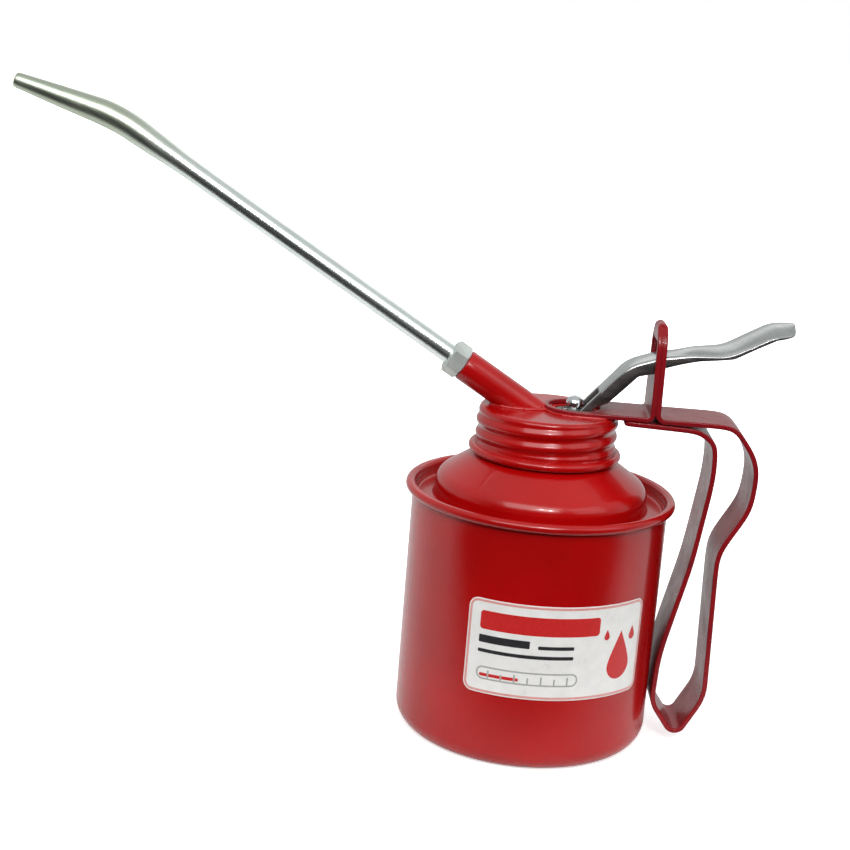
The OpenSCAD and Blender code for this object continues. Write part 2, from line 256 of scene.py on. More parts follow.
def slab(x0, y0, x1, y1, r, count=6):
    """The outline of a rectangle with round corners."""
    return (arc(x1 - r, y1 - r, r, 0, 90, count) + arc(x0 + r, y1 - r, r, 90, 180, count)
            + arc(x0 + r, y0 + r, r, 180, 270, count) + arc(x1 - r, y0 + r, r, 270, 360, count))


def circle(cx, cy, r, count=64):
    """The outline of a circle, without its first point again at the end."""
    return arc(cx, cy, r, 0, 360 - 360 / count, count)


# Places whose own Z runs along the spout, and up through the pump
ALONG_SPOUT = Matrix.Translation((SPOUT_X, 0, CAP_TOP)) @ Matrix.Rotation(radians(SPOUT_RISE - 90), 4, "Y")
AT_PUMP = Matrix.Translation((PUMP_X, 0, 0))


# ---------- materials ----------
def add(tree, kind, settings=(), **inputs):
    """A shader node; an input that is a socket is linked, and any other is its value."""
    node = tree.nodes.new("ShaderNode" + kind)
    for key, value in dict(settings).items():
        setattr(node, key, value)
    for key, value in inputs.items():
        socket = node.inputs[int(key[1:])] if key[0] == "_" else node.inputs[key.replace("_", " ")]
        if isinstance(value, bpy.types.NodeSocket):
            tree.links.new(value, socket)
        else:
            socket.default_value = value
    return node


def coords(tree, scale=(1, 1, 1), turn=(0, 0, 0)):
    """Rest coordinates in metres, turned and then stretched."""
    at = add(tree, "TexCoord").outputs["Object"]
    turned_at = add(tree, "Mapping", Vector=at, Rotation=turn).outputs[0]
    return add(tree, "Mapping", Vector=turned_at, Scale=scale).outputs[0]


def noise(tree, at, scale, detail=3.0, rough=0.5):
    """Noise from about 0.3 to 0.7, with the given number of waves in a metre."""
    return add(tree, "TexNoise", Vector=at, Scale=scale, Detail=detail, Roughness=rough).outputs[0]


def spread(tree, value, low, high, to_low, to_high):
    """A value mapped from one range to another, and held at its ends."""
    node = add(tree, "MapRange", Value=value, From_Min=low, From_Max=high, To_Min=to_low, To_Max=to_high)
    return node.outputs[0]


def blend_colours(tree, factor, a, b):
    """Colour a where the factor is 0 and b where it is 1; each is three numbers or a socket."""
    mix = add(tree, "Mix", {"data_type": "RGBA"}, _0=factor)
    for index, colour in ((6, a), (7, b)):
        if isinstance(colour, bpy.types.NodeSocket):
            tree.links.new(colour, mix.inputs[index])
        else:
            mix.inputs[index].default_value = (*colour, 1)
    return mix.outputs[2]


def relief(tree, height, strength, distance, under=None):
    """A bump of the given depth in millimetres, over another one where there is one."""
    node = add(tree, "Bump", Height=height, Strength=strength, Distance=distance * MM)
    if under:
        tree.links.new(under, node.inputs["Normal"])
    return node.outputs[0]


def shader(name, **fixed):
    """A new material, its tree and its principled node, with the given sockets set."""
    material = bpy.data.materials.new(name)
    material.use_nodes = True
    tree = material.node_tree
    bsdf = tree.nodes["Principled BSDF"]
    for key, value in fixed.items():
        bsdf.inputs[key.replace("_", " ")].default_value = value
    return material, tree, bsdf


def link(tree, bsdf, **sockets):
    """Links sockets to the principled node's inputs of those names."""
    for key, socket in sockets.items():
        tree.links.new(socket, bsdf.inputs[key.replace("_", " ")])


def enamel(name, light, dark, scuffs):
    """Glossy stoved enamel with orange peel; scuffs from 0 to 1 dull and darken it in patches."""
    material, tree, bsdf = shader(name, Coat_Weight=0.30 - 0.15 * scuffs, Coat_Roughness=0.05,
                                  Coat_IOR=1.5, Specular_IOR_Level=0.36 - 0.12 * scuffs)
    worn_tone, dust_tone = (0.11, 0.008, 0.011), (0.40, 0.05, 0.05)
    at = coords(tree)
    depth = spread(tree, noise(tree, at, 38, 4), 0.3, 0.7, 0, 1)
    colour = blend_colours(tree, depth, dark, light)
    patches = noise(tree, at, 95, 6, 0.65)
    worn = spread(tree, patches, 0.60, 0.72, 0, 0.75 * scuffs)
    colour = blend_colours(tree, worn, colour, worn_tone)
    dust = spread(tree, noise(tree, at, 2300, 2), 0.72, 0.80, 0, 0.12 + 0.15 * scuffs)
    colour = blend_colours(tree, dust, colour, dust_tone)
    rough = spread(tree, patches, 0.3, 0.75, 0.21, 0.24 + 0.2 * scuffs)
    peel = relief(tree, noise(tree, at, 620, 2, 0.4), 0.30, 0.035)
    peel = relief(tree, noise(tree, at, 150, 3), 0.30, 0.12, peel)
    link(tree, bsdf, Base_Color=colour, Roughness=rough, Normal=peel)
    link(tree, bsdf, Coat_Normal=relief(tree, noise(tree, at, 430, 2, 0.4), 0.25, 0.03))
    return material


def plated(name, light, dark, rough, streak_turn=(0, 0, 0), streak=(900, 900, 25), pits=0.3, tarnish=None,
           metal=1.0, draw=0.25):
    """Plated metal with draw marks along one way, cloudy tone and, where asked for, a dull end.
    rough is the least and most roughness, streak the marks in a metre along each turned axis, and
    pits and draw are the strengths of the two bumps.
    tarnish is (distance along the turned Z where it starts, where it is full, colour)."""
    material, tree, bsdf = shader(name, Metallic=metal)
    at = coords(tree)
    cloudy = noise(tree, at, 130, 5, 0.6)
    marks = noise(tree, coords(tree, streak, streak_turn), 1.0, 3, 0.6)
    colour = blend_colours(tree, spread(tree, cloudy, 0.3, 0.7, 0, 1), dark, light)
    rough_out = spread(tree, marks, 0.3, 0.75, *rough)
    if tarnish:
        start, full, tone = tarnish
        along = add(tree, "SeparateXYZ", Vector=coords(tree, (1, 1, 1), streak_turn)).outputs[2]
        dull = spread(tree, along, start * MM, full * MM, 0, 0.9)
        colour = blend_colours(tree, dull, colour, tone)
        duller = add(tree, "Math", {"operation": "MULTIPLY_ADD"}, _0=dull, _1=0.12, _2=rough_out)
        rough_out = duller.outputs[0]
    bump = relief(tree, marks, draw, 0.012)
    bump = relief(tree, noise(tree, at, 900, 2), pits, 0.012, bump)
    link(tree, bsdf, Base_Color=colour, Roughness=rough_out, Normal=bump)
    return material


def matt(name, light, dark, scale, rough, depth, **fixed):
    """A dull surface with a grain of the given scale and depth."""
    material, tree, bsdf = shader(name, **fixed)
    at = coords(tree)
    grain = noise(tree, at, scale, 5, 0.6)
    link(tree, bsdf, Base_Color=blend_colours(tree, spread(tree, grain, 0.3, 0.7, 0, 1), dark, light),
         Roughness=spread(tree, grain, 0.3, 0.7, rough - 0.08, rough + 0.08),
         Normal=relief(tree, noise(tree, at, scale * 3, 3), 0.5, depth))
    return material


SPOUT_TURN = (0, radians(90 - SPOUT_RISE), 0)
# One finish for each of the record's material slots
FINISH = {
    "red_enamel": enamel("red_enamel", (0.44, 0.0015, 0.0018), (0.34, 0.0010, 0.0012), 0.08),
    "label_paper": matt("label_paper", (0.86, 0.85, 0.83), (0.78, 0.77, 0.75), 260, 0.34, 0.01,
                        Coat_Weight=0.25, Coat_Roughness=0.12),
    "cork": matt("cork", (0.16, 0.12, 0.09), (0.07, 0.05, 0.04), 700, 0.85, 0.08),
    "packing": matt("packing", (0.66, 0.60, 0.44), (0.42, 0.37, 0.26), 1500, 0.8, 0.10),
    "zinc_plate": plated("zinc_plate", (0.72, 0.76, 0.73), (0.50, 0.54, 0.51), (0.40, 0.56), pits=0.6,
                         metal=0.7),
    "tube_plate": plated("tube_plate", (0.86, 0.91, 0.89), (0.72, 0.78, 0.75), (0.19, 0.34), SPOUT_TURN,
                         (1500, 1500, 14), 0.12, (178, 212, (0.46, 0.51, 0.40))),
    "lever_plate": plated("lever_plate", (0.50, 0.51, 0.50), (0.38, 0.39, 0.385), (0.20, 0.36), (0, 0, 0),
                          (22, 1500, 1500), 0.05, draw=0.1),
    "bare_steel": plated("bare_steel", (0.78, 0.79, 0.80), (0.58, 0.59, 0.61), (0.12, 0.25), pits=0.1),
    "brass": plated("brass", (0.80, 0.60, 0.28), (0.62, 0.43, 0.17), (0.22, 0.36)),
    "cup_leather": matt("cup_leather", (0.24, 0.13, 0.06), (0.11, 0.055, 0.025), 420, 0.6, 0.08),
}
# Finishes that share a slot with another: the handle's darker red (scuffed wear, and painted shade), the
# lever's sides in painted shade and the label's inks
HANDLE_WORN_AND_SHADED = enamel("red_enamel_handle_worn_shaded", (0.27, 0.006, 0.010), (0.18, 0.004, 0.008), 1.0)
# The lever's sides are a darker copy of the lever plate: painted shade
LEVER_SIDE_SHADE = plated("lever_side_painted_shade", (0.20, 0.185, 0.18), (0.11, 0.10, 0.097), (0.34, 0.5),
                    streak=(40, 900, 900), pits=0.6)
INK_RED = matt("ink_red", (0.62, 0.02, 0.02), (0.52, 0.015, 0.015), 900, 0.38, 0.004)
INK_PINK = matt("ink_pink", (0.74, 0.36, 0.33), (0.66, 0.28, 0.26), 900, 0.40, 0.004)
INK_BLACK = matt("ink_black", (0.025, 0.025, 0.028), (0.015, 0.015, 0.017), 900, 0.36, 0.004)
INK_GREY = matt("ink_grey", (0.42, 0.43, 0.41), (0.34, 0.35, 0.33), 900, 0.38, 0.004)


# ---------- can ----------
def thread(angle, z, low, high, height):
    """Height of a right-hand rolled thread between two levels, dying out at both."""
    crest_below_top, fullness, fade = 0.62, 0.85, 1.6
    turns = z / PITCH - angle / (2 * pi)
    wave = 0.5 + 0.5 * cos(2 * pi * (turns - CAP_TOP / PITCH + crest_below_top))
    return height * wave ** fullness * smooth((z - low) / fade) * smooth((high - z) / fade)


def make_reservoir():
    """Drawn can with a rolled rim and a shallow pressed panel in its underside."""
    wall_in, wall_top, corner = CAN_R - SHEET, 76.0, 6.5
    panel_z, panel_r, foot_r, bend = 0.9, 27, 30, 2
    outer = rounded([(0, panel_z, 0), (panel_r, panel_z, bend), (foot_r, 0, bend), (CAN_R, 0, corner),
                     (CAN_R, wall_top, 0)])
    roll = arc(RIM_R, RIM_Z, RIM_ROLL, -118, 203, 30)
    inner = rounded([(wall_in, wall_top, 0), (wall_in, SHEET, corner - SHEET), (foot_r, SHEET, bend),
                     (panel_r, panel_z + SHEET, bend), (0, panel_z + SHEET, 0)])
    loop = np.vstack([densified(outer, 4), roll, densified(inner, 4)])
    obj = piece("can_reservoir", *turned(loop, 192), "red_enamel", "can", FINISH["red_enamel"], sharp=50)
    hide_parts("reservoir")


def make_shoulder():
    """Gully, domed shoulder and filler neck with its rolled thread."""
    edge_r, edge_z, bend, crown = 39.0, 75.9, 1.2, 5.2
    low, high, height = 92.2, 101.8, 0.36
    path = rounded([(edge_r, edge_z, 0), (edge_r, GULLY_Z, bend), (SHOULDER_R, GULLY_Z, bend),
                    (SHOULDER_R, CONE_FOOT_Z, crown), (NECK_R, CONE_TOP_Z, bend), (NECK_R, NECK_TOP, 0)])
    loop = ribbon(densified(path, 0.7), SHEET)

    def swell(angle, r, z):
        return thread(angle, z, low, high, height) if r < NECK_R + 1 and z > low - 0.7 else 0

    obj = piece("can_shoulder", *turned(loop, 192, swell), "red_enamel", "can", FINISH["red_enamel"],
                sharp=50)
    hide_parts("shoulder")


# ---------- screw cap ----------
def make_screw_cap():
    """Pressed cap: flat top with the pump's well hole, rolled thread and a curled lower bead."""
    inner_r, flat_r, under = CAP_GROOVE_R - 0.65, 17.0, CAP_TOP - CAP_SHEET
    edge = 1.3
    outer = ([(flat_r, CAP_TOP)] + arc(CAP_GROOVE_R - edge + 0.15, CAP_TOP - edge, edge, 90, 0, 8)
             + [(CAP_GROOVE_R + 0.1, CAP_BEAD_Z + 1.6)])
    bead = arc(CAP_GROOVE_R + 1.35, CAP_BEAD_Z, CAP_BEAD_R, 128, -190, 26)
    inner = [(inner_r, CAP_BEAD_Z - 0.3), (inner_r, under - 0.4), (inner_r - 0.5, under), (flat_r, under)]
    loop = np.vstack([densified(outer, 0.35), bead, densified(inner, 0.5)])
    low, high = CAP_BEAD_Z + 1.0, CAP_TOP - 0.9

    def swell(angle, r, z):
        return thread(angle, z, low, high, RIDGE) if inner_r - 0.1 < r < CAP_GROOVE_R + 0.3 else 0

    count, lip = 240, 0.25
    rings = []
    angles = np.arange(count) * 2 * pi / count
    out_ring = np.stack([flat_r * np.cos(angles), flat_r * np.sin(angles)], 1)
    hole = np.stack([PUMP_X + WELL_R * np.cos(angles), WELL_R * np.sin(angles)], 1)
    # Share of the way out from the hole, level, and how much wider the hole is there
    for share, z, wider in ((1, CAP_TOP, 0), (0.6, CAP_TOP, 0), (0.25, CAP_TOP, 0), (0, CAP_TOP, lip),
                            (0, CAP_TOP - lip, 0), (0, under + lip, 0), (0, under, lip), (0.25, under, 0),
                            (1, under, 0)):
        hole_at = hole + (hole - [PUMP_X, 0]) * wider / WELL_R
        ring = out_ring * share + hole_at * (1 - share)
        rings.append(np.column_stack([ring, np.full(count, z)]))
    top = np.vstack(rings), grid_faces(len(rings), count)
    obj = piece("cap_shell", *joined(turned(loop, count, swell), top), "red_enamel", "head",
                FINISH["red_enamel"], sharp=50)
    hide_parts("screw_cap")


def make_gasket():
    """Cork ring between the neck's edge and the cap."""
    loop = slab(19.0, NECK_TOP + 0.04, 20.4, CAP_TOP - CAP_SHEET - 0.03, 0.3, 5)
    obj = piece("cap_sealing_ring", *turned(loop), "cork", "gasket", FINISH["cork"])
    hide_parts("cap_gasket")


def weld(name, points, radius, seed):
    """A run of weld bead under the enamel: a tube whose radius ripples."""
    points = np.asarray(points, float)
    rng = np.random.default_rng(seed)
    phase = rng.uniform(0, 2 * pi, 3)
    s = lengths(points)
    ripple = sum(np.sin(s * k + p) * w for k, p, w in zip((2.9, 1.3, 5.1), phase, (0.10, 0.12, 0.04)))
    radii = radius * (1 + ripple)
    radii[[0, -1]] *= 0.45
    piece(name, *swept(points, radii, 14), "red_enamel", "head", FINISH["red_enamel"], sharp=80)


# ---------- handle ----------
def handle_path():
    """Middle of the strip from the eye's outer edge, up and over the post, round the grip and back."""
    run_z, fold = CAP_TOP + STRIP_T / 2, STRIP_T / 2
    leg_in, leg_out = POST_X - fold, POST_X + fold
    up = rounded([(PUMP_X - EYE_OUTER, run_z, 0), (leg_in, run_z, 1.6), (leg_in, POST_TOP - STRIP_T, 0)])
    over = arc(POST_X, POST_TOP - STRIP_T, fold, 180, 0, 13)[1:-1]
    down = rounded([(leg_out, POST_TOP - STRIP_T, 0), (leg_out, run_z - 0.2, 2.4), (57, run_z - 0.2, 6),
                    (65.3, 94, 14), (64.4, 79.5, 12), (56, 64.5, 14), (57.3, 17, 16), (49.4, 2.4, 3),
                    (41, 14, 9), (41.6, 30, 50), (48.3, 60.5, 80), (51.9, 88, 50), (51.6, 100, 5),
                    (46, 103, 6), (POST_X - 9, CAP_TOP - STRIP_T / 2 - 0.02, 0)])
    # The strip is bent by hand, so its bends are softened, away from its two ends and its lower loop
    leg_points, reach, fade = 4, 2.6, 10
    hand = densified(down[leg_points - 1:], 1.2)
    s = lengths(hand)
    weight = np.exp(-0.5 * ((s[:, None] - s) / reach) ** 2)
    soft = weight @ hand / weight.sum(1)[:, None]
    share = [smooth((at - 12) / fade) * smooth((s[-1] - at - 16) / 8) * smooth((z - 22) / fade)
             for at, (_, z) in zip(s, hand)]
    hand += (soft - hand) * np.array(share)[:, None]
    down = np.vstack([down[:leg_points], hand[1:]])
    return np.vstack([up, over, down]), len(up), len(up) + len(over)


POST_FOOT, POST_ROUND_Z, POST_ROUND_R = 109.6, 126.6, 8.0
POST_HEIGHTS = [POST_FOOT, FULCRUM_Z, *np.linspace(POST_ROUND_Z, 132.8, 12)]


def post_half_width(z):
    """Half width of the post at a height: it tapers up to a round top."""
    if z > POST_ROUND_Z:
        return sqrt(POST_ROUND_R ** 2 - (z - POST_ROUND_Z) ** 2)
    return float(np.interp(z, [POST_FOOT, FULCRUM_Z, POST_ROUND_Z], [STRIP_HALF, 8.9, POST_ROUND_R]))


def strip_outlines(path, along, up_end, down_start):
    """The flat strip before it is bent, as distances along it and across it: its edge, eye and slots."""
    def going_up(z):
        return float(np.interp(z, path[2:up_end, 1], along[2:up_end]))

    def going_down(z):
        leg = slice(down_start, down_start + 2)
        return float(np.interp(-z, -path[leg, 1], along[leg]))

    fold = slice(up_end - 1, down_start + 1)
    corner = 1.5
    edge = [(going_up(z), post_half_width(z)) for z in POST_HEIGHTS]
    edge += [(s, post_half_width(z)) for s, z in zip(along[fold], path[fold, 1])]
    edge += [(going_down(z), post_half_width(z)) for z in POST_HEIGHTS[::-1]]
    edge += arc(along[-1] - corner, STRIP_HALF - corner, corner, 90, 0, 6)
    round_end = [(EYE_OUTER * (1 + cos(a)), EYE_OUTER * sin(a)) for a in np.linspace(pi, pi / 2, 24)]
    upper = round_end + [(EYE_OUTER + 3, STRIP_HALF)] + edge
    outline = upper + [(s, -y) for s, y in upper[::-1] if y > 0][:-1]
    slots = []
    for leg in (going_up, going_down):
        start, end = sorted((leg(FULCRUM_Z), leg(SLOT_TOP)))
        slots.append(slab(start, -SLOT_HALF, end, SLOT_HALF, 1.2))
    return [outline, circle(EYE_OUTER, 0, EYE_R)] + slots


def fulcrum_nose():
    """Round nose across the foot of the slot, which the lever rocks on."""
    reach = SLOT_HALF + 0.02
    half_round = arc(POST_X, FULCRUM_Z, STRIP_T, 0, 180, 15)
    return lofted([[(x, y, z) for x, z in half_round] for y in (-reach, reach)])


def seam_paint():
    """The paint that fills the seam between the post's two legs, with the slot left open."""
    inset = 0.16
    side = [(z, post_half_width(z) - inset) for z in (107.2, *POST_HEIGHTS, 133.3, 133.9)]
    seam = side + [(z, -y) for z, y in side[::-1]]
    hole = slab(FULCRUM_Z - inset, -SLOT_HALF - inset, SLOT_TOP + inset, SLOT_HALF + inset, 1.2)
    verts, faces = plate([seam, hole], 1.1, 0.1, [])
    return verts[:, [2, 1, 0]] + [POST_X, 0, 0], faces


def make_handle():
    """One strip: tongue with the eye, folded post with its slot, grip, lower loop and inner strip."""
    path, up_end, down_start = handle_path()
    along = lengths(path)
    even_cuts, hair = np.linspace(1, along[-1] - 1, 64), 0.05
    cuts = sorted(set(np.round(along[1:-1], 4)) | set(np.round(even_cuts, 4)))
    flat, faces = plate(strip_outlines(path, along, up_end, down_start), STRIP_T - hair, 0.35, cuts)
    normal = side_normals(path)
    at = np.stack([np.interp(flat[:, 0], along, path[:, k]) for k in (0, 1)], 1)
    away = np.stack([np.interp(flat[:, 0], along, normal[:, k]) for k in (0, 1)], 1)
    at += away * flat[:, 2:]
    bent = np.stack([at[:, 0], flat[:, 1], at[:, 1]], 1)
    # The strip takes the darker handle enamel: scuffed wear, and a darker red that is painted shade
    obj = piece("handle_bent_strip", *joined((bent, faces), fulcrum_nose(), seam_paint()),
                "red_enamel", "head", HANDLE_WORN_AND_SHADED, sharp=42)
    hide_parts("handle_strip")


def make_welds():
    """Beads round the socket's foot and along the tongue where it lies on the cap."""
    reach = SOCKET_R / sin(radians(SPOUT_RISE))
    foot = [(SPOUT_X + reach * cos(a), SOCKET_R * sin(a), CAP_TOP + 0.1) for a in np.linspace(0, 2 * pi, 90)]
    weld("socket_weld", foot, 0.75, 3)
    side = EYE_OUTER + 0.12
    round_eye = [(PUMP_X + side * cos(a), side * sin(a)) for a in np.linspace(pi / 2, 1.5 * pi, 50)]
    tongue = [(17.5, side), (13, side)] + round_eye + [(13, -side), (17.5, -side)]
    weld("tongue_weld", [(x, y, CAP_TOP + 0.05) for x, y in densified(tongue, 1.0)], 0.5, 5)


# ---------- spout ----------
def make_socket():
    """Tube that the spout's nut screws on to, cut off level with the cap's top."""
    end, edge, foot = SOCKET_END, 0.4, -12
    pipe_r, pipe_end, tube_r, ferrule_r, ferrule_seat = 2.56, 12, 3.3, 4.3, 19
    loop = ([(pipe_r, foot), (SOCKET_R, foot)] + arc(SOCKET_R - edge, end - edge, edge, 0, 90, 5)
            + [(ferrule_r, end), (ferrule_r, ferrule_seat), (tube_r, ferrule_seat), (tube_r, pipe_end),
               (pipe_r, pipe_end)])
    verts, faces = turned(densified(np.array(loop + loop[:1]), 3)[:-1], 72)
    obj = piece("spout_root_socket", placed(verts, ALONG_SPOUT), faces, "red_enamel", "head",
                FINISH["red_enamel"], sharp=40)
    bm = bmesh.new()
    bm.from_mesh(obj.data)
    bmesh.ops.bisect_plane(bm, geom=bm.verts[:] + bm.edges[:] + bm.faces[:], plane_co=(0, 0, CAP_TOP * MM),
                           plane_no=(0, 0, -1), clear_outer=True)
    bmesh.ops.holes_fill(bm, edges=[e for e in bm.edges if e.is_boundary], sides=0)
    bm.to_mesh(obj.data)
    bm.free()
    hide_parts("spout_socket")


def hex_nut(across, height, bore):
    """A hexagonal nut on z = 0, with its corners turned down and its bore's edges broken."""
    flat, lip, count = across / 2, 0.25, 144
    face_r, edge_r, edge_z, chamfer = flat * 0.93, 0.08, 0.1, tan(radians(32))
    verts = []
    for a in np.arange(count) * 2 * pi / count:
        reach = flat / cos(a % (pi / 3) - pi / 6)
        drop = 0.12 + max(0.0, reach - flat * 0.99) * chamfer
        rows = [(bore, lip), (bore + lip, 0), (face_r, 0), (reach - edge_r, drop), (reach, drop + edge_z),
                (reach, height - drop - edge_z), (reach - edge_r, height - drop), (face_r, height),
                (bore + lip, height), (bore, height - lip)]
        verts += [(r * cos(a), r * sin(a), z) for r, z in rows]
    return np.array(verts), grid_faces(count, len(rows), wrap_rows=True)


def make_nuts():
    """The spout's clamping nut and the pump's gland nut, which has a threaded stem below it."""
    across, height, seat = 9.7, 5.4, 22.45
    verts, faces = hex_nut(across, height, TUBE_R + 0.08)
    spot = ALONG_SPOUT @ Matrix.Translation((0, 0, seat))
    obj = piece("spout_hex_nut", placed(verts, spot), faces, "zinc_plate", "head", FINISH["zinc_plate"],
                sharp=24)
    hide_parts("spout_nut")
    across, height, seat = 10.05, 2.0, WELL_Z + 0.02
    stem_foot, stem_r, bore = 99.65, 3.9, 1.65
    verts, faces = hex_nut(across, height, ROD_R + 0.1)
    spot = AT_PUMP @ Matrix.Translation((0, 0, seat))
    stem_loop = [(bore, stem_foot), (stem_r, stem_foot), (stem_r, WELL_Z + 0.1), (bore, WELL_Z + 0.1)]
    stem, stem_faces = turned(stem_loop, 48)
    parts = joined((placed(verts, spot), faces), (placed(stem, AT_PUMP), stem_faces))
    obj = piece("pump_gland_nut", *parts, "zinc_plate", "head", FINISH["zinc_plate"], sharp=24)
    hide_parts("gland_nut")


def spout_radius(s):
    """Outside radius of the spout along its middle: even, then swollen at the bend, then tapered."""
    swell_lead, swell_len, settle_len, taper_lead = 22, 26, 8, 0.25 * BEND_LEN
    if s < BEND_AT:
        return TUBE_R + (BULGE_R - TUBE_R) * smooth((s - BEND_AT + swell_lead) / swell_len)
    at_bend = TUBE_R + (BULGE_R - TUBE_R) * smooth(swell_lead / swell_len)
    widest = at_bend + (BULGE_R - at_bend) * smooth((s - BEND_AT) / settle_len)
    past_bend = s - BEND_AT - BEND_LEN
    straight = max(0.0, (past_bend + taper_lead) / (TIP_LEN + taper_lead))
    belly = min(1.0, 1.2 * smooth((past_bend + 6) / (TIP_LEN + 30)))
    return widest + (TIP_R - widest) * (0.75 * straight + 0.25 * belly * sqrt(straight))


def make_spout():
    """Plated tube, bent near its end and drawn down to an open tip."""
    foot, lip = 12.5, 0.45
    swell_start = BEND_AT - 24
    stations = [*np.arange(foot, swell_start - 2, 8), *np.arange(swell_start, SPOUT_END - 0.4, 1.0)]
    outer = [(spout_radius(s), s) for s in stations]
    tip = arc(TIP_R - lip, SPOUT_END - lip, lip, 0, 180, 9)
    inner = [(max(TIP_R - 2 * lip, r - TUBE_WALL), s) for r, s in outer[::-1]]
    verts, faces = turned(outer + tip + inner, 64)
    bent = []
    for x, y, s in verts:
        phi = min(max(s - BEND_AT, 0), BEND_LEN) / BEND_R
        past = max(s - BEND_AT - BEND_LEN, 0)
        bent.append((-BEND_R * (1 - cos(phi)) + x * cos(phi) - past * sin(phi), y,
                     min(s, BEND_AT) + BEND_R * sin(phi) + x * sin(phi) + past * cos(phi)))
    obj = piece("spout_bent_tube", placed(bent, ALONG_SPOUT), faces, "tube_plate", "spout",
                FINISH["tube_plate"], sharp=50)
    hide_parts("spout_tube")


# ---------- lever ----------
# Middle line of the crown and lower edge of the side walls, as (x, z)
LEVER_TOP = rounded([(7.6, 103.4, 0), (23.2, 121.7, 14), (33, 125.2, 20), (51.8, 127.4, 14),
                     (65.4, 135.2, 12), (72.6, 135.85, 0)])
LEVER_SKIRT = np.array([(12.8, 102.94), (13.2, 106.4), (17.7, 108.6), (25.9, 117.8), (29.4, 118.8),
                        (30.3, 119.0), (33.9, 121.1), (38.5, 122.6), (43.7, 124.2), (54, 126.2),
                        (60.4, 129.9), (66, 132.9), (72.6, 134.3)])


def lever_top(x):
    """Height of the crown's middle line."""
    return float(np.interp(x, LEVER_TOP[:, 0], LEVER_TOP[:, 1]))


def lever_bottom(x):
    """Lower edge of the side walls, with the notches that sit on the fulcrum."""
    low = float(np.interp(x, LEVER_SKIRT[:, 0], LEVER_SKIRT[:, 1]))
    off, notch = x - POST_X, STRIP_T + 0.1
    return max(low, FULCRUM_Z + sqrt(notch ** 2 - off ** 2)) if abs(off) < notch else low


def lever_half_width(x):
    """Half width in plan: fork, neck in the post's slot, then the broad thumb end."""
    fork, neck, thumb, round_from = 4.9, 6.0, 9.3, 61
    if x < 40:
        return fork + (neck - fork) * smooth((x - 16) / 8)
    broad = neck + (thumb - neck) * smooth((x - 38) / 17)
    return broad * max(0.0, 1 - (max(0.0, x - round_from) / 11.7) ** 4) ** 0.4


def lever_section(x):
    """The channel's closed outline across Y at a station, from the crown round one wall and back."""
    w, low, span = lever_half_width(x), lever_bottom(x), 0.3
    fork_end, past_post, thumb_pad = smooth((x - 16) / 12), smooth((x - 34) / 10), smooth((x - 48) / 14)
    rise = min(1.0, w / 5)
    top = lever_top(x) + rise * (1.3 * past_post + 0.3 * thumb_pad)
    slope = (lever_top(x + span) - lever_top(x - span)) / (2 * span)
    thick = LEVER_T * sqrt(1 + slope ** 2)
    crown = rise * (0.25 + 0.55 * fork_end + 1.3 * past_post + 0.9 * thumb_pad)
    edge = min(1.1, 0.35 * w, 0.45 * (top - crown - low))
    wall = min(1.2, 0.4 * w)
    foot = min(0.3, 0.25 * edge + 0.1)
    thin = 0.02

    def crowned(y, drop=0.0):
        return top - drop - crown * (y / w) ** 2

    outer = [(y, crowned(y)) for y in np.linspace(0, w - edge, 9)]
    z_edge = crowned(w - edge)
    corner = [(w - edge + edge * sin(a), z_edge - edge + edge * cos(a))
              for a in np.linspace(0, pi / 2, 6)[1:]]
    skirt = [(w, (corner[-1][1] + low) / 2), (w, low + foot), (w - foot * 0.3, low + foot * 0.3),
             (w - wall / 2, low), (w - wall + foot * 0.3, low + foot * 0.3), (w - wall, low + foot)]
    y_in = max(0.0, w - wall - 0.5)
    floor = low + foot
    under = max(floor + 2.5 * thin, crowned(y_in, thick))
    inner = [(w - wall, max(floor + thin, under - 0.5)),
             (w - wall - 0.15, max(floor + 2 * thin, under - 0.15)), (y_in, under)]
    inner += [(y, max(floor + 2.5 * thin, crowned(y, thick))) for y in np.linspace(y_in, 0, 8)[1:]]
    half = outer + corner + skirt + inner
    full = half + [(-y, z) for y, z in half[-2:0:-1]]
    return [(x, y, z) for y, z in full]


def bar_along_x(stations, y0, y1, low, high, r):
    """A bar with round edges between y0 and y1; low and high give its bottom and top at each x."""
    rows = []
    first, last = stations[0], stations[-1]
    for x in stations:
        off = min(x - first, last - x)
        inset = r * (1 - sqrt(max(0.0, 1 - max(0.0, 1 - off / r) ** 2))) + 0.02
        outline = slab(y0 + inset, low(x) + inset, y1 - inset, high(x) - inset, r * 0.8, 4)
        rows.append([(x, y, z) for y, z in outline])
    return lofted(rows)


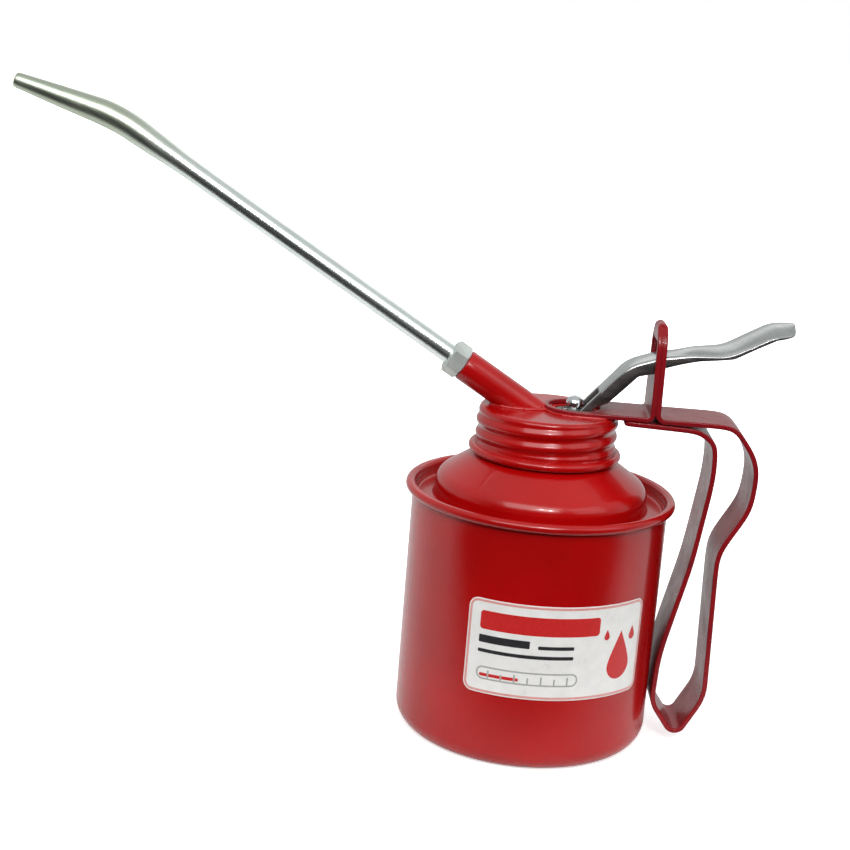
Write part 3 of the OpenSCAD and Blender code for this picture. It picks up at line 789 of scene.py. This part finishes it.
def make_lever():
    """Pressed channel lever with a crowned top, side walls, and a fork with lips at its inner end."""
    slot_end, fork_tip, lip_end = 14.9, 4.6, 12.8
    lip_top, lip_low = 104.34, 102.94
    stations = sorted(set(np.round(np.concatenate([
        np.arange(slot_end, 30, 0.7), np.arange(30, 34.4, 0.2), np.arange(34.4, 64, 0.8),
        np.arange(64, 70, 0.5), LEVER_TIP - np.geomspace(2.6, 0.03, 14)]), 3)))
    channel = lofted([lever_section(x) for x in stations])
    rounding = [0, 0.05, 0.12, 0.22, 0.35, 0.5]
    fork_xs = [fork_tip + e for e in rounding] + list(np.arange(5.5, slot_end + 0.9, 0.35))
    lip_xs = [fork_tip + e for e in rounding] + [9.0] + [lip_end - e for e in rounding[::-1]]

    def fork_low(x):
        return max(lip_low, lever_bottom(x)) if x > 12.9 else lip_low

    def fork_high(x):
        return max(lip_top, lever_top(x) - 0.18)

    fork, lip = [], []
    for side in (-1, 1):
        fork.append(bar_along_x(fork_xs, *sorted((side * 3.2, side * 4.9)), fork_low, fork_high, 0.4))
        lip.append(bar_along_x(lip_xs, *sorted((side * 1.8, side * 4.5)), lambda x: lip_low,
                               lambda x: lip_top, 0.3))
    obj = piece("thumb_lever_pressing", *joined(channel, *fork, *lip), "lever_plate", "lever",
                [FINISH["lever_plate"], LEVER_SIDE_SHADE], sharp=40)
    # Faces that do not point up take the darker copy of the plate: painted shade, chosen by which way a face
    # points
    shade_below_z = 0.35
    for face in obj.data.polygons:
        if face.normal.z < shade_below_z:
            face.material_index = 1
    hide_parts("thumb_lever")


# ---------- pump ----------
def make_plunger():
    """Rod with its ball knob, which shows in the eye."""
    neck, edge = 0.5, 0.3
    ball = arc(0, KNOB_Z, KNOB_R, 90, -54, 20)
    loop = ball + [(ROD_R, KNOB_Z - KNOB_R - neck), (ROD_R, ROD_FOOT + edge), (ROD_R - edge, ROD_FOOT),
                   (0, ROD_FOOT)]
    verts, faces = turned(densified(np.array(loop), 6), 48)
    obj = piece("plunger_ball_rod", placed(verts, AT_PUMP), faces, "bare_steel", "plunger",
                FINISH["bare_steel"])
    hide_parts("plunger_rod")


def make_spring():
    """Return spring with closed end coils; it shortens as the plunger lifts."""
    low, high = SPRING_FOOT + SPRING_WIRE, SPRING_TOP - SPRING_WIRE
    dead, count = 1.0, 400
    centres = []
    for turns in np.arange(count + 1) * (SPRING_TURNS + 2 * dead) / count:
        flat = 0.5 + 0.5 * smooth((turns - 0.35) / 1.2)
        share = min(max((turns - dead * flat) / SPRING_TURNS, 0), 1)
        angle = 2 * pi * turns
        centres.append((PUMP_X + SPRING_R * cos(angle), SPRING_R * sin(angle), low + (high - low) * share))
    obj = piece("plunger_return_spring", *swept(centres, SPRING_WIRE, 12), "bare_steel", "head",
                FINISH["bare_steel"], sharp=60)
    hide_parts("return_spring")
    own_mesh(obj)


def finish_cad_nodes():
    """Every CAD node that still shows gets its slot's material."""
    slots = {part["node"]: part["material_slot"] for part in frame["record"]["subparts"]}
    for name, node in frame["nodes"].items():
        node.data.materials.clear()
        node.data.materials.append(FINISH[slots[name]])


# ---------- label ----------
def wrap(verts, r):
    """Flat (along, up, out) millimetres laid on the can's wall at radius r."""
    v = np.asarray(verts)
    a = radians(LABEL_AT) + v[:, 0] / CAN_R
    out = r + v[:, 2]
    return np.stack([out * np.cos(a), out * np.sin(a), LABEL_Z + v[:, 1]], 1)


def print_on(name, outlines, level, material, thickness=0.05):
    """A printed shape: a thin flat piece wrapped on the label at a level above the wall."""
    xs = [x for x, _ in outlines[0]]
    cuts = np.arange(ceil(min(xs)), max(xs), 1.0)
    verts, faces = plate(outlines, thickness, thickness * 0.3, cuts)
    return piece(name, wrap(verts, CAN_R + level), faces, "label_paper", "can", material, sharp=30)


def drop_outline(cx, cy, r, height, count=40):
    """An oil drop: a circle below, drawn up to a point."""
    side = []
    for k in range(count + 1):
        t = k / count
        a = radians(-90 + 180 * t)
        pull = smooth((a + 0.2) / (pi / 2 + 0.2))
        side.append((cx + r * cos(a) * (1 - pull) ** 0.6, cy + r * sin(a) + pull * (height - r)))
    return side + [(2 * cx - x, y) for x, y in side[-2:0:-1]]


def make_label():
    """White paper label with a pink border and a plain generic print: bars, oil drops and a gauge."""
    half_w, half_h, r = radians(LABEL_SPAN) * CAN_R / 2, LABEL_H / 2, 3.0
    xs = np.arange(ceil(-half_w), half_w, 1.0)
    verts, faces = plate([slab(-half_w, -half_h, half_w, half_h, r)], 0.18, 0.05, xs)
    obj = piece("label_plate", wrap(verts, CAN_R + 0.11), faces, "label_paper", "can", FINISH["label_paper"])
    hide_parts("label")
    level, gap, line = 0.205, 0.35, 0.7
    border = [slab(-half_w + gap, -half_h + gap, half_w - gap, half_h - gap, r - gap),
              slab(-half_w + gap + line, -half_h + gap + line, half_w - gap - line, half_h - gap - line,
                   r - gap - line)]
    print_on("label_border", border, level, INK_PINK)
    left = -half_w + 4.0
    print_on("label_band", [slab(left, 5.4, left + 37, 11.2, 1.0)], level, INK_RED)
    rules = ((0, 15.5, 1.2, 2.4), (18, 29, 1.2, 1.1), (0, 29, -1.9, 1.1))
    for k, (start, end, y, tall) in enumerate(rules):
        print_on(f"label_rule_{k}", [slab(left + start, y, left + end, y + tall, 0.25, 3)], level, INK_BLACK)
    drop_x = half_w - 9.5
    print_on("label_drop", [drop_outline(drop_x, -5.0, 4.6, 11.0)], level, INK_RED)
    for k, (dx, dy, size) in enumerate(((-5.6, 4.6, 1.0), (4.9, 3.6, 1.3))):
        print_on(f"label_droplet_{k}", [drop_outline(drop_x + dx, dy, size, size * 2.4)], level, INK_RED)
    y = -7.8
    gauge = [slab(left, y - 2.6, left + 31, y + 1.6, 2.0),
             slab(left + 0.5, y - 2.1, left + 30.5, y + 1.1, 1.5)]
    print_on("label_gauge", gauge, level, INK_GREY)
    for k in range(7):
        x, top = left + 3.5 + 4 * k, y - 0.2 if k % 2 else y + 0.4
        print_on(f"label_gauge_mark_{k}", [slab(x, y - 2.1, x + 0.5, top, 0.1, 2)], level, INK_GREY)
    print_on("label_gauge_fill", [slab(left + 1.0, y - 1.6, left + 13, y - 0.6, 0.4, 4)], level, INK_RED)


# ---------- studio ----------
def make_camera():
    """The view: level with the shoulder, a little to the left and tipped by a few degrees."""
    at, aim = Vector((-0.0365, -0.5235, 0.2245)), Vector((-0.0377, 0.0, 0.096))
    lens, roll = 73.33, radians(4.6)
    data = bpy.data.cameras.new("camera")
    data.lens, data.sensor_width, data.clip_start = lens, 36, 0.01
    camera = bpy.data.objects.new("camera", data)
    SCENE.collection.objects.link(camera)
    turn = (aim - at).to_track_quat("-Z", "Y").to_matrix() @ Matrix.Rotation(roll, 3, "Z")
    camera.matrix_world = Matrix.Translation(at) @ turn.to_4x4()
    SCENE.camera = camera


def area_light(name, at, size, power):
    """A rectangular lamp that points at the middle of the can; its place and size are in metres."""
    aim = Vector((0, 0, 0.08))
    data = bpy.data.lights.new(name, "AREA")
    data.shape, data.size, data.size_y = "RECTANGLE", *size
    data.energy = power
    lamp = bpy.data.objects.new(name, data)
    SCENE.collection.objects.link(lamp)
    turn = (aim - Vector(at)).to_track_quat("-Z", "Y").to_matrix()
    lamp.matrix_world = Matrix.Translation(at) @ turn.to_4x4()


def make_world():
    """A white room that is darker on the side the viewer stands on, as seen in the plated parts."""
    world = bpy.data.worlds.new("room")
    SCENE.world = world
    world.use_nodes = True
    tree = world.node_tree
    way = add(tree, "SeparateXYZ", Vector=add(tree, "TexCoord").outputs["Generated"])
    front = spread(tree, way.outputs[1], -0.60, 0.05, 1, 0)
    low = spread(tree, way.outputs[2], 0.30, 0.75, 1, 0)
    shade = add(tree, "Math", {"operation": "MULTIPLY"}, _0=front, _1=low).outputs[0]
    room = blend_colours(tree, shade, (0.62, 0.64, 0.64), (0.015, 0.015, 0.016))
    seen = add(tree, "LightPath").outputs["Is Camera Ray"]
    tree.links.new(blend_colours(tree, seen, room, WHITE), tree.nodes["Background"].inputs[0])


def make_floor():
    """Pale paper that fades into white; in front of the object it is dark to all but the camera."""
    half = 12
    material, tree, bsdf = shader("pale_floor", Roughness=0.8, Specular_IOR_Level=0.1)
    at = coords(tree)
    away = add(tree, "VectorMath", {"operation": "LENGTH"}, _0=at).outputs["Value"]
    grain = noise(tree, at, 300, 2)
    paper = blend_colours(tree, grain, (0.84, 0.84, 0.84), (0.88, 0.88, 0.88))
    seen = add(tree, "LightPath").outputs["Is Camera Ray"]
    ahead = add(tree, "SeparateXYZ", Vector=at).outputs[1]
    unlit = blend_colours(tree, spread(tree, ahead, -0.11, -0.045, 1, 0), paper, (0.02, 0.02, 0.02))
    link(tree, bsdf, Base_Color=blend_colours(tree, seen, unlit, paper))
    glow = add(tree, "Math", {"operation": "MULTIPLY"}, _0=seen, _1=spread(tree, away, 0.12, 0.5, 0.62, 1.5))
    link(tree, bsdf, Emission_Strength=glow.outputs[0])
    bsdf.inputs["Emission Color"].default_value = (*WHITE, 1)
    mesh = bpy.data.meshes.new("floor")
    corners = [(-half, -half, 0), (half, -half, 0), (half, half, 0), (-half, half, 0)]
    mesh.from_pydata(corners, [], [(0, 1, 2, 3)])
    floor = bpy.data.objects.new("floor", mesh)
    mesh.materials.append(material)
    SCENE.collection.objects.link(floor)


make_camera()
make_world()
make_floor()
area_light("key", (-0.25, -1.15, 1.05), (1.5, 0.8), 14)
area_light("fill", (1.0, -0.7, 0.8), (0.9, 0.9), 3)
area_light("back", (0.1, 1.1, 0.9), (1.2, 0.6), 1.5)
area_light("lamp_left", (0.00, -0.80, 0.62), (0.05, 0.03), 1.3)
area_light("lamp_right", (0.13, -0.80, 0.60), (0.05, 0.03), 1.3)
SCENE.view_settings.view_transform = "Standard"

finish_cad_nodes()
make_reservoir()
make_shoulder()
make_screw_cap()
make_gasket()
make_handle()
make_socket()
make_welds()
make_nuts()
make_spout()
make_lever()
make_plunger()
make_spring()
make_label()
